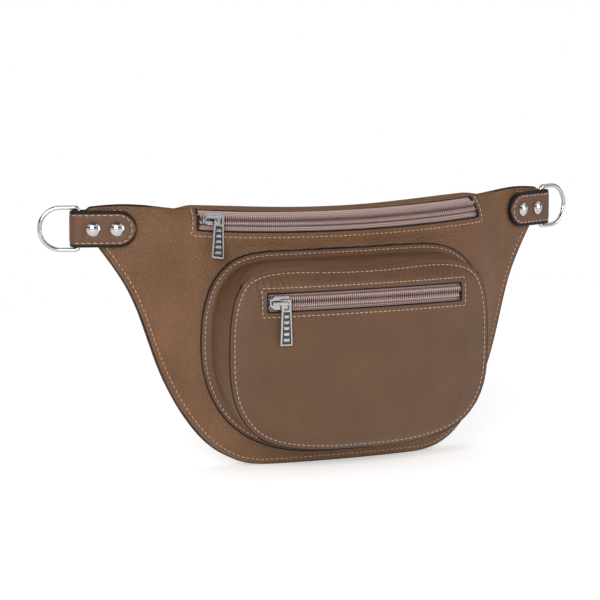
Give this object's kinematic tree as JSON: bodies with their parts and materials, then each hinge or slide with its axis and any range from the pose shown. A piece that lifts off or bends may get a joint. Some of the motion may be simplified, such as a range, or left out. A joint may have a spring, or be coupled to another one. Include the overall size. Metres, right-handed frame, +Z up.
{
  "type": "waist pack",
  "caption": "Leather waist pack: curved body with a zipped top compartment, a zipped front pocket, and a riveted tab with a D-ring on each wing for a belt.",
  "frame": {"origin": "under the middle of the whole pack, at the level of its bottom seam", "axes": "+X along the pack towards the right wing as seen from the front, front pocket towards -Y, +Z up"},
  "size_m": [0.4064, 0.0934, 0.1787],
  "materials": {
    "brown_leather": "pebbled, satin, dyed taupe brown",
    "pocket_leather": "fine grain, satin, dyed taupe brown",
    "edge_paint": "painted raw edge, near black",
    "thread": "waxed polyester thread, tan",
    "lining_cloth": "woven twill",
    "zip_tape": "woven polyester, dusty mauve",
    "zip_coil": "nylon monofilament, dusty mauve",
    "plated_metal": "polished nickel plate",
    "black_enamel": "gloss enamel fill"
  },
  "bodies": {
    "bag": {"back_panel": "brown_leather", "front_panel": "brown_leather", "left_ring_tab": "brown_leather", "left_rivet_caps": "plated_metal", "left_rivet_posts": "plated_metal", "main_lining_back": "lining_cloth", "main_lining_front": "lining_cloth", "main_zip_coil_lower": "zip_coil", "main_zip_coil_upper": "zip_coil", "main_zip_tape_lower": "zip_tape", "main_zip_tape_upper": "zip_tape", "pocket_front_panel": "pocket_leather", "pocket_gusset": "brown_leather", "pocket_lining_back": "lining_cloth", "pocket_lining_front": "lining_cloth", "pocket_zip_coil_lower": "zip_coil", "pocket_zip_coil_upper": "zip_coil", "pocket_zip_tape_lower": "zip_tape", "pocket_zip_tape_upper": "zip_tape", "right_ring_tab": "brown_leather", "right_rivet_caps": "plated_metal", "right_rivet_posts": "plated_metal", "top_band": "brown_leather"},
    "left_ring": {"left_d_ring": "plated_metal"},
    "right_ring": {"right_d_ring": "plated_metal"},
    "main_slider": {"main_slider_body": "plated_metal", "main_slider_bridge": "plated_metal"},
    "main_pull": {"main_puller": "plated_metal", "main_puller_inlay": "black_enamel"},
    "pocket_slider": {"pocket_slider_body": "plated_metal", "pocket_slider_bridge": "plated_metal"},
    "pocket_pull": {"pocket_puller": "plated_metal", "pocket_puller_inlay": "black_enamel"}
  },
  "joints": [
    {"name": "left_ring_swing", "type": "hinge", "parent": "bag", "child": "left_ring", "pos_m": [-0.1773, 0.03613, 0.163], "axis": [0, 0, 1], "range_deg": [-110, 110]},
    {"name": "right_ring_swing", "type": "hinge", "parent": "bag", "child": "right_ring", "pos_m": [0.1773, 0.03613, 0.163], "axis": [0, 0, 1], "range_deg": [-110, 110]},
    {"name": "main_slider_travel", "type": "hinge", "parent": "bag", "child": "main_slider", "pos_m": [0, 0.64289, 0.6483], "axis": [0, -0.6, 0.8], "range_deg": [0, 13.15]},
    {"name": "main_puller_swing", "type": "hinge", "parent": "main_slider", "child": "main_pull", "pos_m": [-0.09148, -0.00215, 0.16976], "axis": [-0.0566, -0.9109, 0.4087], "range_deg": [-40, 180]},
    {"name": "pocket_slider_travel", "type": "hinge", "parent": "bag", "child": "pocket_slider", "pos_m": [0, 0.62479, 0.1159], "axis": [0, 0, 1], "range_deg": [0, 10.84]},
    {"name": "pocket_puller_swing", "type": "hinge", "parent": "pocket_slider", "child": "pocket_pull", "pos_m": [-0.06077, -0.04326, 0.1159], "axis": [-0.0945, -0.9955, 0], "range_deg": [-40, 180]}
  ]
}
